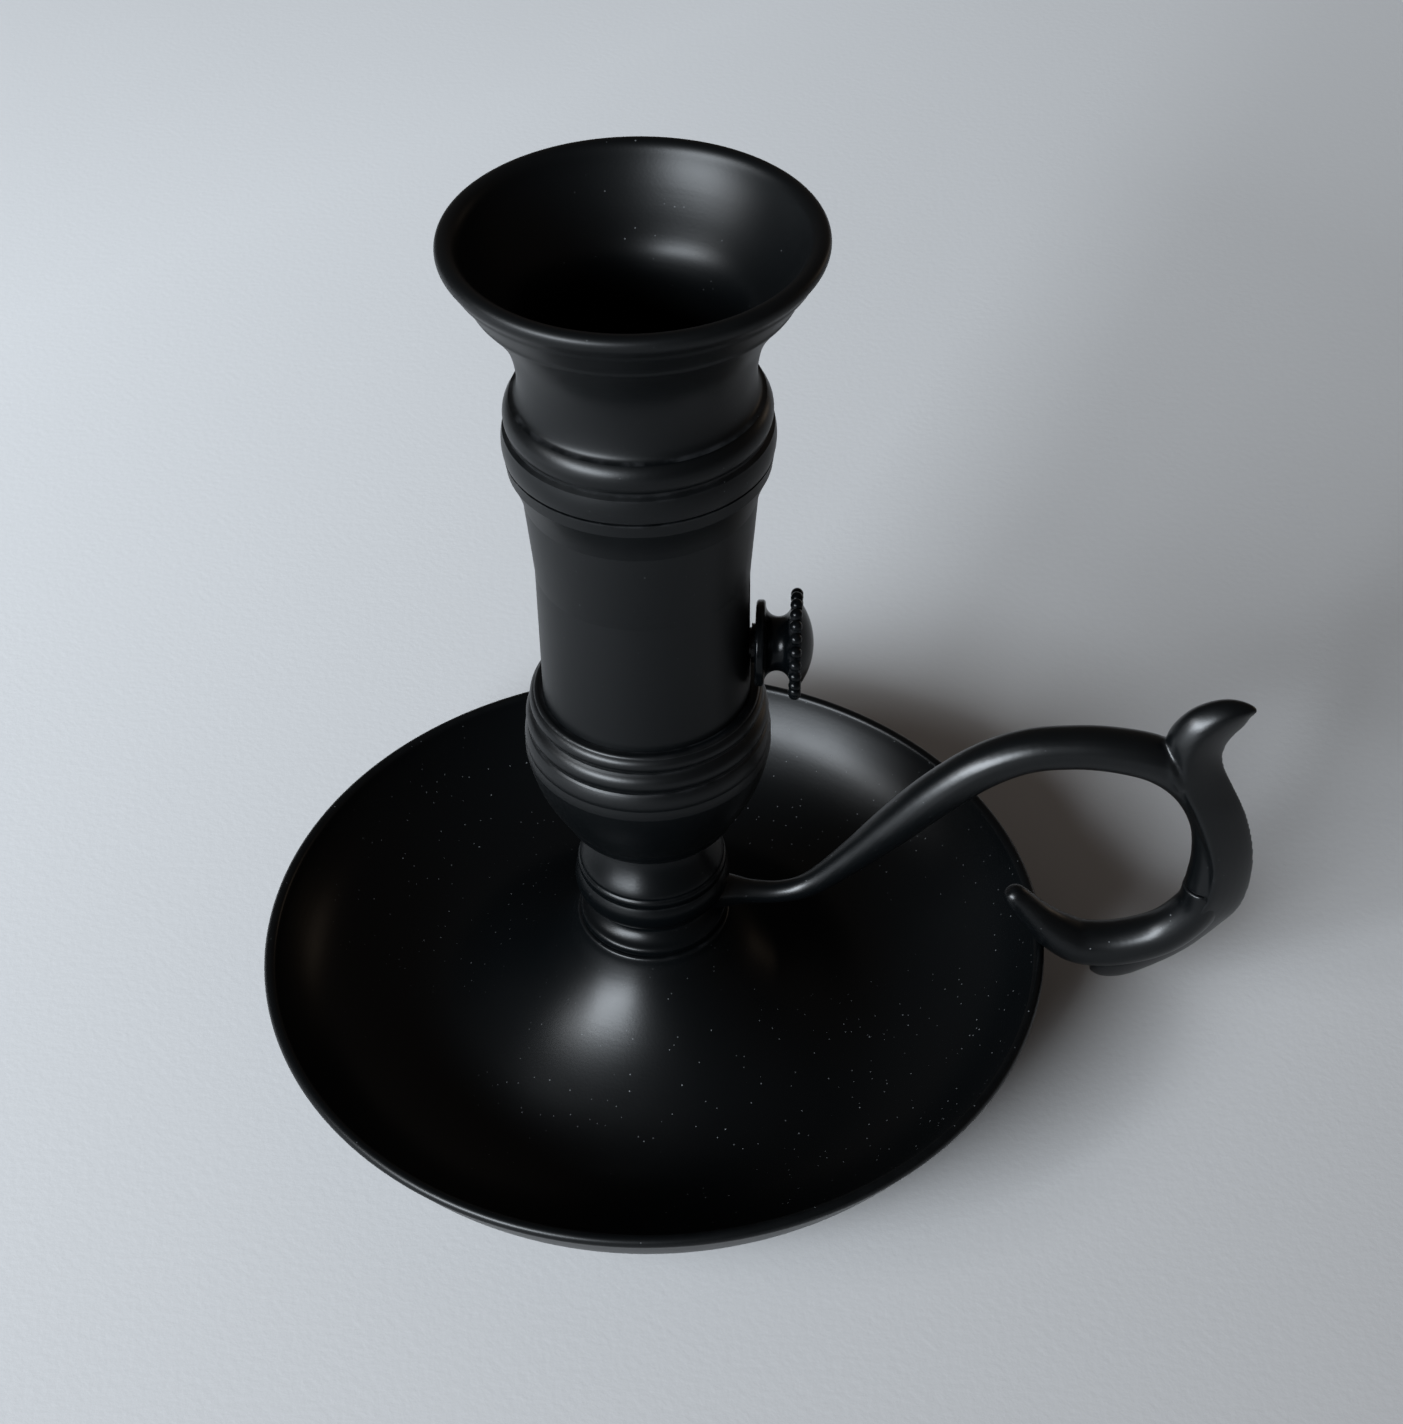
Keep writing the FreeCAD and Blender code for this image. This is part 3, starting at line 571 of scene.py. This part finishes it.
def castPiece(name, sheet, node):
    # the shells in the sheet run together into one skin, in place of a CAD node
    bmesh.ops.recalc_face_normals(sheet, faces=sheet.faces)
    piece = sheetPiece(name, sheet)
    joined = piece.modifiers.new("joined", "REMESH")
    joined.mode = "VOXEL"
    joined.voxel_size = casting["voxel"]
    softened = piece.modifiers.new("softened", "SMOOTH")
    softened.iterations = casting["smoothing"]
    graph = bpy.context.evaluated_depsgraph_get()
    piece.data = bpy.data.meshes.new_from_object(piece.evaluated_get(graph))
    piece.modifiers.clear()
    for face in piece.data.polygons:
        face.use_smooth = True
    takePlace(piece, node)


armSheet, hookSheet = bmesh.new(), bmesh.new()
addRod(armSheet, [(x, 0, z, radius) for x, z, radius in casting["bar"]])
addBlade(armSheet, casting["blade"])
for side in (-1, 1):
    addRod(armSheet, [(x, side * y, z, radius) for x, y, z, radius in casting["fold"]], casting["foldCorners"])
castPiece("castHandle", armSheet, "handle_arm")
addRod(hookSheet, [(x, 0, z, radius) for x, z, radius in casting["hook"]])
castPiece("castHook", hookSheet, "finger_hook")
print("handle and hook cast")


# painted light falloff: the table top's colour runs from pale to dull along the slant, darker away from the window
# lamp, with a random mottle on top
table = {"halfWidth": 1.6, "pale": (0.715, 0.725, 0.735), "dull": (0.365, 0.358, 0.356), "fade": (-0.33, 0.22),
         "slant": (1.1, -1.1, 0.0), "mottle": 0.05, "mottleScale": 14.0, "roughness": 0.75,
         "grainScale": 900.0, "grainHeight": 0.00012, "bump": 0.25}


def makeTable():
    mesh = bpy.data.meshes.new("tableTop")
    half = table["halfWidth"]
    mesh.from_pydata([(-half, -half, 0), (half, -half, 0), (half, half, 0), (-half, half, 0)], [], [(0, 1, 2, 3)])
    top = placed("tableTop", mesh)
    material, tree, shader, where = startMaterial("table paint and painted falloff")
    slant = tree.nodes.new("ShaderNodeVectorMath")  # painted light falloff: the colour is paler towards the window lamp and darker towards the near right corner
    slant.operation = "DOT_PRODUCT"
    slant.inputs[1].default_value = table["slant"]
    tree.links.new(where, slant.inputs[0])
    paintedFalloff = rampNode(tree, slant.outputs["Value"], *table["fade"])
    cloudy = noiseNode(tree, where, table["mottleScale"], detail=5.0)
    paintedFalloffAndMottle = mathNode(tree, "ADD", paintedFalloff, mathNode(tree, "MULTIPLY", cloudy, table["mottle"]), clamp=True)
    tree.links.new(mixColour(tree, paintedFalloffAndMottle, table["pale"], table["dull"]), shader.inputs["Base Color"])
    shader.inputs["Roughness"].default_value = table["roughness"]
    bumpFrom(tree, shader, noiseNode(tree, where, table["grainScale"]), table["bump"], table["grainHeight"])
    mesh.materials.append(material)


def aim(thing, target):
    thing.rotation_euler = (Vector(target) - thing.location).to_track_quat("-Z", "Y").to_euler()


def makeLamp(name, azimuth, elevation, distance, size, power, colour, target=(0, 0, 0.05)):
    # soft rectangular light in a direction seen from the object
    data = bpy.data.lights.new(name, "AREA")
    data.shape = "RECTANGLE"
    data.size, data.size_y = size
    data.energy = power
    data.color = colour
    lamp = placed(name, data)
    turn, rise = math.radians(azimuth), math.radians(elevation)
    lamp.location = Vector(target) + distance * Vector(
        (math.cos(turn) * math.cos(rise), math.sin(turn) * math.cos(rise), math.sin(rise)))
    aim(lamp, target)


lamps = [
    dict(name="windowLeft", azimuth=231, elevation=23, distance=1.5, size=(0.95, 0.50), power=52.0,
         colour=(0.89, 0.965, 1.04)),
    dict(name="windowSide", azimuth=206, elevation=28, distance=1.3, size=(0.50, 0.30), power=5.5,
         colour=(0.92, 0.96, 1.0)),
    dict(name="roomWarm", azimuth=40, elevation=4, distance=1.2, size=(0.25, 0.12), power=0.28,
         colour=(1.0, 0.78, 0.58)),
]
room = {"colour": (0.98, 0.86, 0.78), "strength": 0.085}


def makeWorld():
    world = bpy.data.worlds.new("room")
    world.use_nodes = True
    background = world.node_tree.nodes["Background"]
    background.inputs["Color"].default_value = (*room["colour"], 1.0)
    background.inputs["Strength"].default_value = room["strength"]
    bpy.context.scene.world = world


camera = {"place": (0.0204, -0.2335, 0.2606), "heading": 93.36, "pitch": 41.55, "roll": 0.71,
          "focalPixels": 2524.0, "imageHeight": 1424.0, "sensor": 36.0, "clipStart": 0.01}


def makeCamera():
    data = bpy.data.cameras.new("camera")
    data.sensor_width = camera["sensor"]
    data.lens = camera["focalPixels"] / camera["imageHeight"] * camera["sensor"]
    data.clip_start = camera["clipStart"]
    view = placed("camera", data)
    heading, pitch, roll = (math.radians(camera[k]) for k in ("heading", "pitch", "roll"))
    forward = Vector((math.cos(heading) * math.cos(pitch), math.sin(heading) * math.cos(pitch), -math.sin(pitch)))
    level = forward.cross(Vector((0, 0, 1))).normalized()
    right = math.cos(roll) * level - math.sin(roll) * level.cross(forward)
    up = right.cross(forward)
    turn = Matrix((right, up, -forward)).transposed()
    view.matrix_world = Matrix.Translation(Vector(camera["place"])) @ turn.to_4x4()
    bpy.context.scene.camera = view


makeTable()
for values in lamps:
    makeLamp(**values)
makeWorld()
makeCamera()
bpy.context.scene.view_settings.view_transform = "Standard"
print("table, lamps and camera placed")
